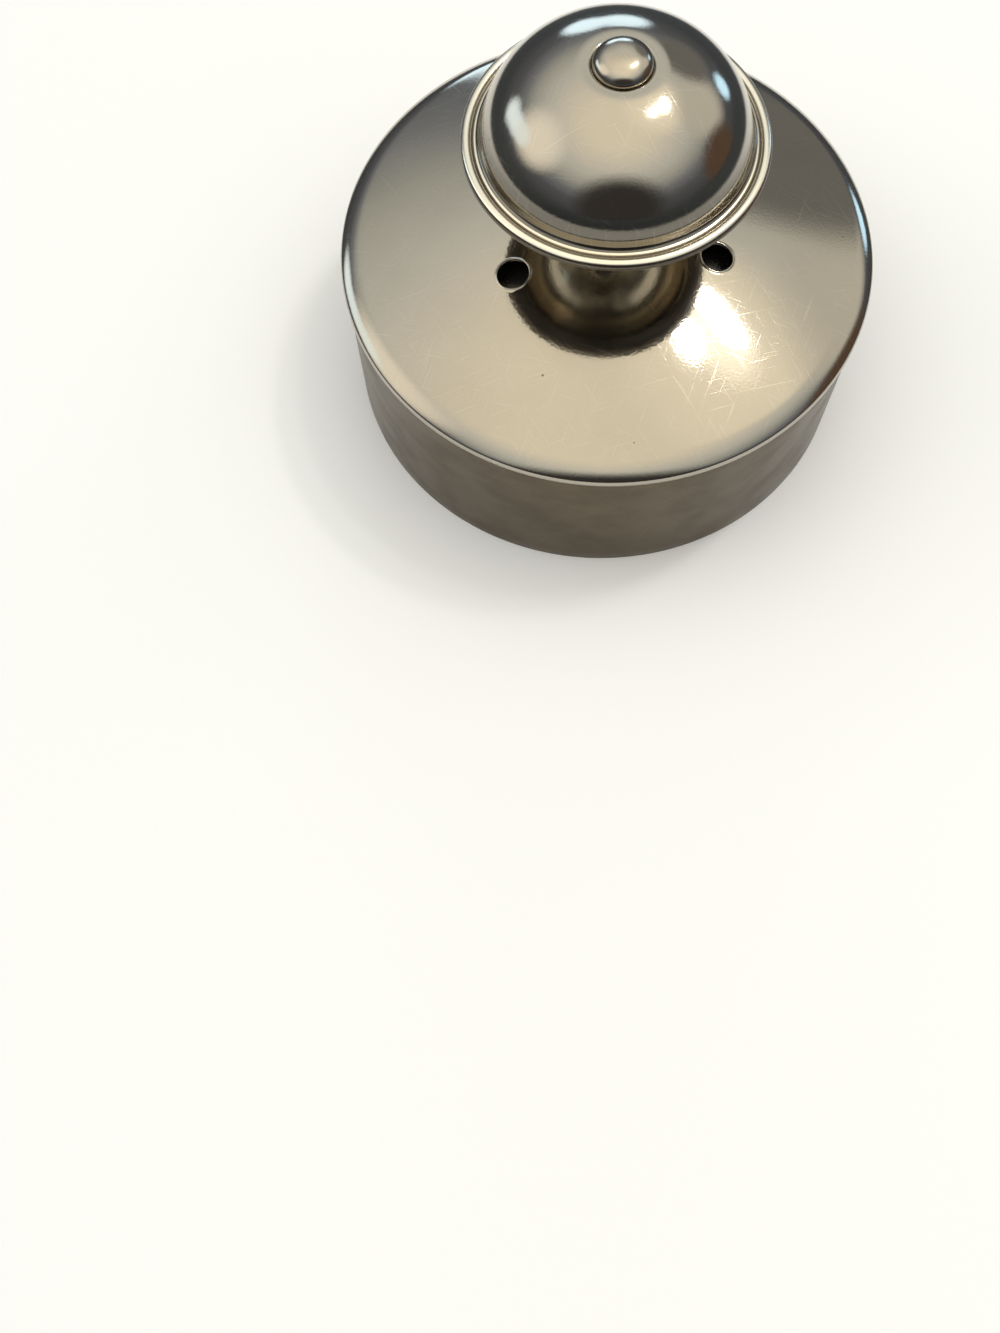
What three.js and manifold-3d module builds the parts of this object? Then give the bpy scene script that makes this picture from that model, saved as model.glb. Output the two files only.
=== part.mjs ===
// Crustless sandwich cutter: a round steel cutter with a spring-loaded crimping plunger.
// Millimetres, +Z up. The origin is the centre of the cutting edge, on the table top.
import * as THREE from 'three';
import { mergeVertices } from 'three/addons/utils/BufferGeometryUtils.js';
import Module from 'manifold-3d';

const wasm = await Module();
wasm.setup();

// Cutter ring and cover
const coverDiameter = 88.9;
const coverSheet = 0.45;
const coverEdgeHeight = 29;
const coverEdgeRadius = 1;
const lipDrop = 0.5;
const coverShoulderRadius = 8;
const coverShoulderSlope = 42;
const coverRimSlope = 16;
const coverCrownRadius = 290;
const ringSheet = 0.5;

// Neck drawn up from the cover
const neckRise = 3.8;
const neckFlareRadius = 3;
const neckTopRadius = 0.6;
const neckTopLand = 0.2;

// Vent holes, evenly spaced, the first one at the back
const ventCount = 3;
const ventDiameter = 5;
const ventCircleDiameter = 37.8;
const ventStartAngle = 90;

// Knob: a pressed dome with a rolled bead round its foot
const knobDiameter = 46.6;
const knobBeadWidth = 2;
const knobGap = 9;
const knobBandWidth = 0.9;
const knobGrooveWidth = 0.3;
const knobGrooveDepth = 0.6;
const knobBandDrop = 0.4;
const beadEndAngle = 150;
const bandStartAngle = 30;
const domeHeight = 14;
const domeFullness = 2.1;
const domeSheet = 0.6;
const rivetSeatDepth = 0.55;
const rivetSeatMargin = 0.15;

// Rivets at both ends of the plunger tube
const rivetHeadDiameter = 8.7;
const knobRivetHeadHeight = 2.5;
const crimperRivetHeadHeight = 2;
const rivetHeadFullness = 2.3;
const rivetShankDiameter = 3;
const rivetShankLength = 12;
const rivetClearance = 0.1;

// Plunger
const plungerTubeDiameter = 5;
const pressStroke = 10;
const pressedTableGap = 0.5;
const crimperSheet = 0.6;
const crimperClearance = 0.5;
const crimperWallDraft = 3;
const crimperShoulderRadius = 3;
const crimperFootRadius = 1.5;
const crimperFootLand = 0.5;
const crimpFlangeWidth = 5.1;
const crimpCount = 36;
const crimpDepth = 1;
const crimpRunIn = 1;
const crimperWasherDiameter = 16;

// Return spring and its two washers
const washerDiameter = 8.6;
const washerThickness = 0.8;
const springDiameter = 7;
const springWire = 0.9;
const springActiveTurns = 5;
const springEndTurns = 1;
const springEndGap = 0.5;

// Clearances between pieces
const seatGap = 0.05;
const slideClearance = 0.3;
const stopGap = 0.3;

// Fineness of the facets
const shellSides = 48;
const smallSides = 24;
const ventSides = 20;
const sidesPerCrimp = 4;
const stepsPerTurn = 8;
const wireSides = 5;
const edgeSteps = 2;
const shoulderSteps = 3;
const crownSteps = 2;
const flareSteps = 5;
const bendSteps = 2;
const beadSteps = 6;
const domeSteps = 8;
const headSteps = 6;

const radians = THREE.MathUtils.degToRad;
const point = (radius, height) => new THREE.Vector2(radius, height);

const polishedSteel = { color: 0xc3bdb0, roughness: 0.12, metalness: 1 };
const satinSteel = { color: 0x8d857a, roughness: 0.42, metalness: 1 };
const rivetSteel = { color: 0xb3a894, roughness: 0.2, metalness: 1 };
const plainSteel = { color: 0xa9a8a4, roughness: 0.35, metalness: 1 };
const springSteel = { color: 0x77777a, roughness: 0.3, metalness: 1 };

// Outlines: points (radius, height), anticlockwise, so that the revolved faces point out

function arc(centre, radius, startAngle, endAngle, steps) {
  return Array.from({ length: steps + 1 }, (_, i) => {
    const angle = radians(startAngle + ((endAngle - startAngle) * i) / steps);
    return point(centre.x + radius * Math.cos(angle), centre.y + radius * Math.sin(angle));
  });
}

// Points of a rounded cap, from its foot at radius halfWidth up to the radius topRadius
function capArc(foot, halfWidth, height, fullness, topRadius, steps) {
  const endAngle = Math.asin((topRadius / halfWidth) ** (fullness / 2));
  return Array.from({ length: steps + 1 }, (_, i) => {
    const angle = Math.PI / 2 + ((endAngle - Math.PI / 2) * i) / steps;
    const across = Math.sin(angle) ** (2 / fullness);
    const up = Math.max(Math.cos(angle), 0) ** (2 / fullness);
    return point(halfWidth * across, foot + height * up);
  });
}

// The same path moved to its left by a distance, with mitred corners
function offsetPath(path, distance) {
  const normals = path.slice(1).map((end, i) => {
    const along = end.clone().sub(path[i]).normalize();
    return point(-along.y, along.x);
  });
  return path.map((corner, i) => {
    const before = normals[Math.max(i - 1, 0)];
    const after = normals[Math.min(i, normals.length - 1)];
    const middle = before.clone().add(after).normalize();
    return corner.clone().addScaledVector(middle, distance / middle.dot(after));
  });
}

function sheetOutline(outerPath, thickness) {
  return [...outerPath, ...offsetPath(outerPath, thickness).reverse()];
}

function ringOutline(innerRadius, outerRadius, bottom, top) {
  return [
    point(outerRadius, bottom),
    point(outerRadius, top),
    point(innerRadius, top),
    point(innerRadius, bottom),
  ];
}

function revolve(outline, sides) {
  const onAxis = outline[0].x === 0 && outline.at(-1).x === 0;
  const profile = onAxis ? outline : [...outline, outline[0].clone()];
  const geometry = new THREE.LatheGeometry(profile, sides);
  return geometry.rotateX(Math.PI / 2);
}

// Solids for cutting

function toSolid(geometry) {
  const bare = geometry.clone();
  bare.deleteAttribute('normal');
  bare.deleteAttribute('uv');
  const merged = mergeVertices(bare);
  const vertProperties = new Float32Array(merged.attributes.position.array);
  const triVerts = new Uint32Array(merged.index.array);
  return new wasm.Manifold(new wasm.Mesh({ numProp: 3, vertProperties, triVerts }));
}

function fromSolid(solid) {
  const { vertProperties, triVerts } = solid.getMesh();
  const geometry = new THREE.BufferGeometry();
  geometry.setAttribute('position', new THREE.BufferAttribute(vertProperties, 3));
  geometry.setIndex(new THREE.BufferAttribute(triVerts, 1));
  return geometry;
}

// Sizes that several pieces share

const coverRadius = coverDiameter / 2;
const tubeRadius = plungerTubeDiameter / 2;
const shankRadius = rivetShankDiameter / 2;
const boreRadius = shankRadius + rivetClearance;
const slideRadius = tubeRadius + slideClearance;
const neckRadius = slideRadius + neckTopLand + neckTopRadius;

// The cover's section is a row of arcs, each starting where the last one ends: edge, shoulder, crown, flare
function onArc(centre, radius, angle) {
  return arc(centre, radius, angle, angle, 1)[0];
}
const edgeCentre = point(coverRadius - coverEdgeRadius, coverEdgeHeight);
const shoulderStart = onArc(edgeCentre, coverEdgeRadius, 90 - coverShoulderSlope);
const shoulderCentre = onArc(shoulderStart, coverShoulderRadius, 270 - coverShoulderSlope);
const crownStart = onArc(shoulderCentre, coverShoulderRadius, 90 - coverRimSlope);
const crownCentre = onArc(crownStart, coverCrownRadius, 270 - coverRimSlope);
const undersideRadius = coverCrownRadius - coverSheet;
function underside(radius) {
  return crownCentre.y + Math.sqrt(undersideRadius ** 2 - (radius - crownCentre.x) ** 2);
}

// The flare touches the crown and the neck's straight wall
const flareReach = neckRadius + neckFlareRadius;
const flareCentreRadius = coverCrownRadius + neckFlareRadius;
const flareSine = (flareReach - crownCentre.x) / flareCentreRadius;
const flareSlope = THREE.MathUtils.radToDeg(Math.asin(flareSine));
const flareCentre = onArc(crownCentre, flareCentreRadius, 90 - flareSlope);
const neckHeight = flareCentre.y + neckRise;

const ringOuterRadius = coverRadius - coverSheet - seatGap;
const ringInnerRadius = ringOuterRadius - ringSheet;
const ringTop = coverEdgeHeight - seatGap;

const seatWasherBottom = neckHeight + seatGap;
const seatWasherTop = seatWasherBottom + washerThickness;

const knobRadius = knobDiameter / 2;
const beadRadius = knobBeadWidth / 2;
const beadCentre = point(knobRadius - beadRadius, neckHeight + knobGap + beadRadius);
const domeRadius = knobRadius - knobBeadWidth - knobGrooveWidth - knobBandWidth;
const rivetSeatRadius = rivetHeadDiameter / 2 + rivetSeatMargin;
const domeTop = capArc(beadCentre.y, domeRadius, domeHeight, domeFullness, rivetSeatRadius, 1).at(-1).y;
const rivetSeatHeight = domeTop - rivetSeatDepth;
const tubeTop = rivetSeatHeight - domeSheet - seatGap;

// The spring's upper washer lies under the rivet's seat
const capWasherBottom = rivetSeatHeight - domeSheet - stopGap - washerThickness;

// The crimper's flange fills the ring, and its pan stands inside the flange right up to the cover
const crimperFlange = pressStroke + pressedTableGap + crimpDepth + crimperSheet;
const crimperRadius = ringInnerRadius - crimperClearance;
const crimpStart = crimperRadius - crimpFlangeWidth;
const crimperWallRun = (coverEdgeHeight - crimperFlange) * Math.tan(radians(crimperWallDraft));
const crimperPanRadius = crimpStart - crimperFootLand - crimperFootRadius - crimperWallRun;
const crimperRoofEdge = crimperPanRadius - crimperShoulderRadius;
const crimperRoof = underside(crimperRoofEdge) - stopGap;
const tubeBottom = crimperRoof + seatGap;
const crimperWasherBottom = crimperRoof - crimperSheet - seatGap - washerThickness;

// Cutter body

function coverPath() {
  const shoulderEnds = [90 - coverShoulderSlope, 90 - coverRimSlope];
  const shoulder = arc(shoulderCentre, coverShoulderRadius, ...shoulderEnds, shoulderSteps);
  const neckCorner = point(neckRadius - neckTopRadius, neckHeight - neckTopRadius);
  return [
    point(coverRadius, coverEdgeHeight - lipDrop),
    ...arc(edgeCentre, coverEdgeRadius, 0, 90 - coverShoulderSlope, edgeSteps),
    ...shoulder.slice(1),
    ...arc(crownCentre, coverCrownRadius, 90 - coverRimSlope, 90 - flareSlope, crownSteps).slice(1),
    ...arc(flareCentre, neckFlareRadius, 270 - flareSlope, 180, flareSteps).slice(1),
    ...arc(neckCorner, neckTopRadius, 0, 90, bendSteps),
    point(slideRadius, neckHeight),
  ];
}

function makeTopCover() {
  let cover = toSolid(revolve(sheetOutline(coverPath(), coverSheet), shellSides));
  const punchLength = coverEdgeHeight;
  const punch = new THREE.CylinderGeometry(ventDiameter / 2, ventDiameter / 2, punchLength, ventSides);
  punch.rotateX(Math.PI / 2);
  punch.translate(ventCircleDiameter / 2, 0, crownStart.y);
  for (let i = 0; i < ventCount; i++) {
    const angle = radians(ventStartAngle + (360 * i) / ventCount);
    cover = cover.subtract(toSolid(punch.clone().rotateZ(angle)));
  }
  return fromSolid(cover);
}

function makeCutterRing() {
  return revolve(ringOutline(ringInnerRadius, ringOuterRadius, 0, ringTop), shellSides);
}

function makeWasher(bottom, innerRadius, diameter) {
  const outline = ringOutline(innerRadius, diameter / 2, bottom, bottom + washerThickness);
  return revolve(outline, smallSides);
}

// Return spring: closed end turns, open turns between them, and a short straight run at each end

function springCentreLine(bottom, top) {
  const endPitch = springWire + springEndGap;
  const activePitch = (top - bottom - 2 * springEndTurns * endPitch) / springActiveTurns;
  const turns = springActiveTurns + 2 * springEndTurns;
  const radius = springDiameter / 2;
  const line = [];
  for (let step = 0; step <= turns * stepsPerTurn; step++) {
    const turn = step / stepsPerTurn;
    const active = THREE.MathUtils.clamp(turn - springEndTurns, 0, springActiveTurns);
    const height = bottom + active * activePitch + (turn - active) * endPitch;
    const angle = 2 * Math.PI * turn;
    line.push(new THREE.Vector3(radius * Math.cos(angle), radius * Math.sin(angle), height));
  }
  const first = line[0];
  const last = line.at(-1);
  const outward = new THREE.Vector3(0, springWire, 0);
  return [first.clone().sub(outward), ...line, last.clone().add(outward)];
}

function springGap(line) {
  let least = Infinity;
  for (let i = 0; i < line.length; i++) {
    for (let j = i + Math.ceil(stepsPerTurn / 2); j < line.length; j++) {
      least = Math.min(least, line[i].distanceTo(line[j]) - springWire);
    }
  }
  return least;
}

function wireAlong(line, diameter) {
  const positions = [];
  const index = [];
  const up = new THREE.Vector3(0, 0, 1);
  line.forEach((centre, i) => {
    const before = line[Math.max(i - 1, 0)];
    const after = line[Math.min(i + 1, line.length - 1)];
    const along = after.clone().sub(before).normalize();
    const side = along.clone().cross(up).normalize();
    const over = side.clone().cross(along);
    for (let k = 0; k < wireSides; k++) {
      const angle = (2 * Math.PI * k) / wireSides;
      const corner = centre.clone();
      corner.addScaledVector(side, (diameter / 2) * Math.cos(angle));
      corner.addScaledVector(over, (diameter / 2) * Math.sin(angle));
      positions.push(corner.x, corner.y, corner.z);
    }
  });
  for (let i = 0; i < line.length - 1; i++) {
    for (let k = 0; k < wireSides; k++) {
      const a = i * wireSides + k;
      const b = i * wireSides + ((k + 1) % wireSides);
      index.push(a, a + wireSides, b, b, a + wireSides, b + wireSides);
    }
  }
  const end = (line.length - 1) * wireSides;
  for (let k = 1; k < wireSides - 1; k++) {
    index.push(0, k, k + 1);
    index.push(end, end + k + 1, end + k);
  }
  const geometry = new THREE.BufferGeometry();
  geometry.setAttribute('position', new THREE.Float32BufferAttribute(positions, 3));
  geometry.setIndex(index);
  return geometry;
}

function makeReturnSpring() {
  const inset = stopGap + springWire / 2;
  const line = springCentreLine(seatWasherTop + inset, capWasherBottom - inset);
  console.log(`return_spring least gap to itself: ${springGap(line).toFixed(2)} mm`);
  return wireAlong(line, springWire);
}

// Knob

function knobPath() {
  const grooveOuter = knobRadius - knobBeadWidth;
  const bandHeight = beadCentre.y + beadRadius - knobBandDrop;
  const bandRadius = knobBandWidth / 2;
  const bandCentre = point(domeRadius + bandRadius, bandHeight - bandRadius);
  const bead = arc(beadCentre, beadRadius, -90, beadEndAngle, beadSteps);
  const groove = point(grooveOuter - knobGrooveWidth / 2, beadCentre.y + beadRadius - knobGrooveDepth);
  const band = arc(bandCentre, bandRadius, bandStartAngle, 90, bendSteps);
  const dome = capArc(beadCentre.y, domeRadius, domeHeight, domeFullness, rivetSeatRadius, domeSteps);
  const wall = dome.filter((corner) => corner.y > bandHeight);
  return { rim: [...bead, groove, ...band], wall };
}

function makeKnobDome() {
  const { rim, wall } = knobPath();
  const seat = [
    point(rivetSeatRadius, rivetSeatHeight),
    point(boreRadius, rivetSeatHeight),
  ];
  const outer = [...wall, ...seat];
  const inner = offsetPath(outer, domeSheet).reverse();
  const foot = point(inner.at(-1).x, beadCentre.y - beadRadius);
  return revolve([...rim, ...outer, ...inner, foot], shellSides);
}

// A rivet standing on its head's underside, with the shank pointing down
function rivetOutline(seat, headHeight) {
  const headRadius = rivetHeadDiameter / 2;
  return [
    point(0, seat - rivetShankLength),
    point(shankRadius, seat - rivetShankLength),
    point(shankRadius, seat),
    ...capArc(seat, headRadius, headHeight, rivetHeadFullness, 0, headSteps),
  ];
}

function makeKnobRivet() {
  return revolve(rivetOutline(rivetSeatHeight + seatGap, knobRivetHeadHeight), smallSides);
}

// Plunger

function makePlungerTube() {
  return revolve(ringOutline(boreRadius, tubeRadius, tubeBottom, tubeTop), smallSides);
}

// Corrugates a flange: every point past the run-in rises and falls in radial waves
function corrugate(geometry) {
  const position = geometry.attributes.position;
  for (let i = 0; i < position.count; i++) {
    const x = position.getX(i);
    const y = position.getY(i);
    const reach = THREE.MathUtils.clamp((Math.hypot(x, y) - crimpStart) / crimpRunIn, 0, 1);
    const wave = Math.cos(crimpCount * Math.atan2(y, x));
    position.setZ(i, position.getZ(i) + crimpDepth * reach * wave);
  }
  return geometry;
}

function makeCrimper() {
  const shoulder = point(crimperRoofEdge, crimperRoof - crimperShoulderRadius);
  const footCentre = point(crimpStart - crimperFootLand, crimperFlange + crimperFootRadius);
  const path = [
    point(crimperRadius, crimperFlange),
    point(crimpStart + crimpRunIn, crimperFlange),
    point(crimpStart, crimperFlange),
    ...arc(footCentre, crimperFootRadius, 270, 180 + crimperWallDraft, bendSteps),
    ...arc(shoulder, crimperShoulderRadius, crimperWallDraft, 90, bendSteps),
    point(boreRadius, crimperRoof),
  ];
  const pan = revolve(sheetOutline(path, crimperSheet), crimpCount * sidesPerCrimp);
  return corrugate(pan);
}

function makeCrimperRivet() {
  const outline = rivetOutline(0, crimperRivetHeadHeight);
  const rivet = revolve(outline, smallSides);
  return rivet.rotateX(Math.PI).translate(0, 0, crimperWasherBottom - seatGap);
}

const sandwichCutter = new THREE.Group();

function addPiece(name, geometry, steel) {
  const piece = new THREE.Mesh(geometry, new THREE.MeshStandardMaterial(steel));
  piece.name = name;
  sandwichCutter.add(piece);
}

addPiece('top_cover', makeTopCover(), polishedSteel);
addPiece('cutter_ring', makeCutterRing(), satinSteel);
addPiece('spring_seat_washer', makeWasher(seatWasherBottom, slideRadius, washerDiameter), plainSteel);
addPiece('return_spring', makeReturnSpring(), springSteel);
addPiece('spring_cap_washer', makeWasher(capWasherBottom, slideRadius, washerDiameter), plainSteel);
addPiece('knob_dome', makeKnobDome(), polishedSteel);
addPiece('knob_rivet', makeKnobRivet(), rivetSteel);
addPiece('plunger_tube', makePlungerTube(), plainSteel);
addPiece('crimper', makeCrimper(), plainSteel);
addPiece('crimper_washer', makeWasher(crimperWasherBottom, boreRadius, crimperWasherDiameter), plainSteel);
addPiece('crimper_rivet', makeCrimperRivet(), rivetSteel);

export default sandwichCutter;
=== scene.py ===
import math

import bmesh
import bpy
from mathutils import Matrix, Vector


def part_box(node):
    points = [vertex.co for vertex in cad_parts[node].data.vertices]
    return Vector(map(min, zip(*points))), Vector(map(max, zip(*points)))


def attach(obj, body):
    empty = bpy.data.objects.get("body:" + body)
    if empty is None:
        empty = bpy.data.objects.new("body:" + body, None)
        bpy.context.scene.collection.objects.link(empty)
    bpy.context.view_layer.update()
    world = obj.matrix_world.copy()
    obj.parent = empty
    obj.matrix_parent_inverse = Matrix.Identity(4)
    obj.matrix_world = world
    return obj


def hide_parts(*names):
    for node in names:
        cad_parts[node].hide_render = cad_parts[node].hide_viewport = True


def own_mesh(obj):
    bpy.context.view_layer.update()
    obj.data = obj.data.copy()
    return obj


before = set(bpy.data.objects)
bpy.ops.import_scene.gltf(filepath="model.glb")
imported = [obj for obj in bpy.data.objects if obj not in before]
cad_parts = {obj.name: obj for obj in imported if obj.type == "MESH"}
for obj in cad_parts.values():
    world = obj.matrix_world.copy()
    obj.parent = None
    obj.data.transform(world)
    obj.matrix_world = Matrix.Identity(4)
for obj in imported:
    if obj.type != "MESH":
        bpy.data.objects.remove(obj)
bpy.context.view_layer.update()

mm = 0.001
print("frame loaded:", len(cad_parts), "nodes")


# outlines: lists of (radius, height) in millimetres, anticlockwise

def arcPoints(centreR, centreZ, radius, startAngle, endAngle, steps):
    points = []
    for i in range(steps + 1):
        angle = math.radians(startAngle + (endAngle - startAngle) * i / steps)
        points.append((centreR + radius * math.cos(angle), centreZ + radius * math.sin(angle)))
    return points


def capPoints(footZ, halfWidth, height, fullness, topRadius, steps):
    # rounded cap from its foot up to topRadius
    endAngle = math.asin((topRadius / halfWidth) ** (fullness / 2))
    points = []
    for i in range(steps + 1):
        angle = math.pi / 2 + (endAngle - math.pi / 2) * i / steps
        across = math.sin(angle) ** (2 / fullness)
        up = max(math.cos(angle), 0) ** (2 / fullness)
        points.append((halfWidth * across, footZ + height * up))
    return points


def capHeight(radius, halfWidth, height, fullness):
    return height * (1 - (radius / halfWidth) ** fullness) ** (1 / fullness)


def offsetPath(points, distance):
    # the same path moved to its left, with mitred corners
    path = [Vector(p) for p in points]
    normals = []
    for a, b in zip(path, path[1:]):
        along = (b - a).normalized()
        normals.append(Vector((-along.y, along.x)))
    moved = []
    for i, corner in enumerate(path):
        before = normals[max(i - 1, 0)]
        after = normals[min(i, len(normals) - 1)]
        middle = (before + after).normalized()
        moved.append(tuple(corner + middle * (distance / middle.dot(after))))
    return moved


def rounded(corners, steps=5):
    # closed outline from (radius, height, fillet) corners
    outline = []
    count = len(corners)
    for i, (r, z, fillet) in enumerate(corners):
        here = Vector((r, z))
        if fillet == 0:
            outline.append((r, z))
            continue
        toLast = (Vector(corners[i - 1][:2]) - here).normalized()
        toNext = (Vector(corners[(i + 1) % count][:2]) - here).normalized()
        half = toLast.angle(toNext) / 2
        start = here + toLast * (fillet / math.tan(half))
        centre = here + (toLast + toNext).normalized() * (fillet / math.sin(half))
        spoke = start - centre
        turn = math.pi - 2 * half
        if toLast.cross(toNext) > 0:
            turn = -turn
        for k in range(steps + 1):
            a = turn * k / steps
            x = spoke.x * math.cos(a) - spoke.y * math.sin(a)
            y = spoke.x * math.sin(a) + spoke.y * math.cos(a)
            outline.append((centre.x + x, centre.y + y))
    return outline


# meshes

def meshObject(name, mesh):
    obj = bpy.data.objects.new(name, mesh)
    bpy.context.collection.objects.link(obj)
    return obj


def closeMesh(bm):
    bmesh.ops.remove_doubles(bm, verts=bm.verts, dist=1e-6)
    bmesh.ops.recalc_face_normals(bm, faces=bm.faces)
    for face in bm.faces:
        face.smooth = True


def latheMesh(name, outline, sides, zones=None):
    # revolves a closed outline; points on the axis become poles
    # zones maps segments of the outline to other material slots
    slots = zones or {}
    bm = bmesh.new()
    flat = bm.loops.layers.uv.new("surface")
    widest = max(r for r, z in outline)
    rings = []
    for r, z in outline:
        if r < 1e-6:
            rings.append([bm.verts.new((0, 0, z * mm))] * sides)
            continue
        ring = []
        for k in range(sides):
            angle = 2 * math.pi * k / sides
            ring.append(bm.verts.new((r * mm * math.cos(angle), r * mm * math.sin(angle), z * mm)))
        rings.append(ring)
    run = 0.0
    for i, ring in enumerate(rings):
        following = (i + 1) % len(rings)
        nextRing = rings[following]
        nextRun = run + math.dist(outline[i], outline[following]) * mm
        for k in range(sides):
            corners = [ring[k], ring[(k + 1) % sides], nextRing[(k + 1) % sides], nextRing[k]]
            corners = list(dict.fromkeys(corners))
            if len(corners) < 3:
                continue
            face = bm.faces.new(corners)
            face.material_index = slots.get(i, 0)
            around = [2 * math.pi * widest * mm * n / sides for n in (k, k + 1)]
            spots = ((around[0], run), (around[1], run), (around[1], nextRun), (around[0], nextRun))
            for loop, spot in zip(face.loops, spots):
                loop[flat].uv = spot
        run = nextRun
    closeMesh(bm)
    mesh = bpy.data.meshes.new(name)
    bm.to_mesh(mesh)
    bm.free()
    return mesh


# geometry node trees

def addNode(tree, kind, **settings):
    node = tree.nodes.new(kind)
    for key, value in settings.items():
        setattr(node, key, value)
    return node


def mathNode(tree, operation, first, second=None):
    node = addNode(tree, "ShaderNodeMath", operation=operation)
    for socket, value in zip(node.inputs, (first, second)):
        if value is None:
            continue
        if isinstance(value, (int, float)):
            socket.default_value = value
        else:
            tree.links.new(value, socket)
    return node.outputs[0]


def nodeTree(name, inputs):
    tree = bpy.data.node_groups.new(name, "GeometryNodeTree")
    tree.interface.new_socket("Geometry", in_out="INPUT", socket_type="NodeSocketGeometry")
    for label, kind in inputs:
        tree.interface.new_socket(label, in_out="INPUT", socket_type="NodeSocket" + kind)
    tree.interface.new_socket("Geometry", in_out="OUTPUT", socket_type="NodeSocketGeometry")
    start = addNode(tree, "NodeGroupInput")
    end = addNode(tree, "NodeGroupOutput")
    return tree, start.outputs, end.inputs["Geometry"]


def finishTree(tree, geometry, material, output):
    realize = addNode(tree, "GeometryNodeRealizeInstances")
    smooth = addNode(tree, "GeometryNodeSetShadeSmooth")
    paint = addNode(tree, "GeometryNodeSetMaterial")
    tree.links.new(geometry, realize.inputs["Geometry"])
    tree.links.new(realize.outputs[0], smooth.inputs["Geometry"])
    tree.links.new(smooth.outputs[0], paint.inputs["Geometry"])
    tree.links.new(material, paint.inputs["Material"])
    tree.links.new(paint.outputs[0], output)


def runTree(obj, tree, values):
    # sets the inputs by identifier, then turns the result into a plain mesh
    modifier = obj.modifiers.new(tree.name, "NODES")
    modifier.node_group = tree
    for item in tree.interface.items_tree:
        if item.in_out == "INPUT" and item.name in values:
            modifier[item.identifier] = values[item.name]
    bpy.context.view_layer.update()
    evaluated = obj.evaluated_get(bpy.context.evaluated_depsgraph_get())
    mesh = bpy.data.meshes.new_from_object(evaluated)
    obj.modifiers.remove(modifier)
    bm = bmesh.new()
    bm.from_mesh(mesh)
    closeMesh(bm)
    bm.to_mesh(mesh)
    bm.free()
    obj.data = mesh
    return obj


def roundAxisTree():
    # copies a sector evenly round the Z axis and welds the seams
    inputs = [("Count", "Int"), ("Weld", "Float"), ("Material", "Material")]
    tree, given, output = nodeTree("repeatRoundAxis", inputs)
    spots = addNode(tree, "GeometryNodePoints")
    place = addNode(tree, "GeometryNodeInstanceOnPoints")
    index = addNode(tree, "GeometryNodeInputIndex")
    vector = addNode(tree, "ShaderNodeCombineXYZ")
    turn = addNode(tree, "FunctionNodeEulerToRotation")
    realize = addNode(tree, "GeometryNodeRealizeInstances")
    weld = addNode(tree, "GeometryNodeMergeByDistance")
    step = mathNode(tree, "DIVIDE", 2 * math.pi, given["Count"])
    tree.links.new(mathNode(tree, "MULTIPLY", index.outputs[0], step), vector.inputs["Z"])
    tree.links.new(vector.outputs[0], turn.inputs[0])
    tree.links.new(given["Count"], spots.inputs["Count"])
    tree.links.new(spots.outputs[0], place.inputs["Points"])
    tree.links.new(given["Geometry"], place.inputs["Instance"])
    tree.links.new(turn.outputs[0], place.inputs["Rotation"])
    tree.links.new(place.outputs[0], realize.inputs["Geometry"])
    tree.links.new(realize.outputs[0], weld.inputs["Geometry"])
    tree.links.new(given["Weld"], weld.inputs["Distance"])
    finishTree(tree, weld.outputs[0], given["Material"], output)
    return tree


def crimpTree():
    # lifts and lowers a flat flange in radial waves
    inputs = [("Crimp count", "Float"), ("Crimp depth", "Float"), ("Flange start", "Float"),
              ("Run in", "Float"), ("Material", "Material")]
    tree, given, output = nodeTree("crimpFlange", inputs)
    position = addNode(tree, "GeometryNodeInputPosition")
    split = addNode(tree, "ShaderNodeSeparateXYZ")
    tree.links.new(position.outputs[0], split.inputs[0])
    x, y = split.outputs["X"], split.outputs["Y"]
    reach = mathNode(tree, "SQRT", mathNode(
        tree, "ADD", mathNode(tree, "MULTIPLY", x, x), mathNode(tree, "MULTIPLY", y, y)))
    outward = mathNode(tree, "SUBTRACT", reach, given["Flange start"])
    past = mathNode(tree, "DIVIDE", outward, given["Run in"])
    ramp = addNode(tree, "ShaderNodeMapRange", interpolation_type="SMOOTHSTEP")
    tree.links.new(past, ramp.inputs["Value"])
    angle = mathNode(tree, "ARCTAN2", y, x)
    wave = mathNode(tree, "COSINE", mathNode(tree, "MULTIPLY", angle, given["Crimp count"]))
    swing = mathNode(tree, "MULTIPLY", wave, given["Crimp depth"])
    lift = mathNode(tree, "MULTIPLY", swing, ramp.outputs[0])
    vector = addNode(tree, "ShaderNodeCombineXYZ")
    tree.links.new(lift, vector.inputs["Z"])
    move = addNode(tree, "GeometryNodeSetPosition")
    tree.links.new(given["Geometry"], move.inputs["Geometry"])
    tree.links.new(vector.outputs[0], move.inputs["Offset"])
    finishTree(tree, move.outputs[0], given["Material"], output)
    return tree


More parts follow.
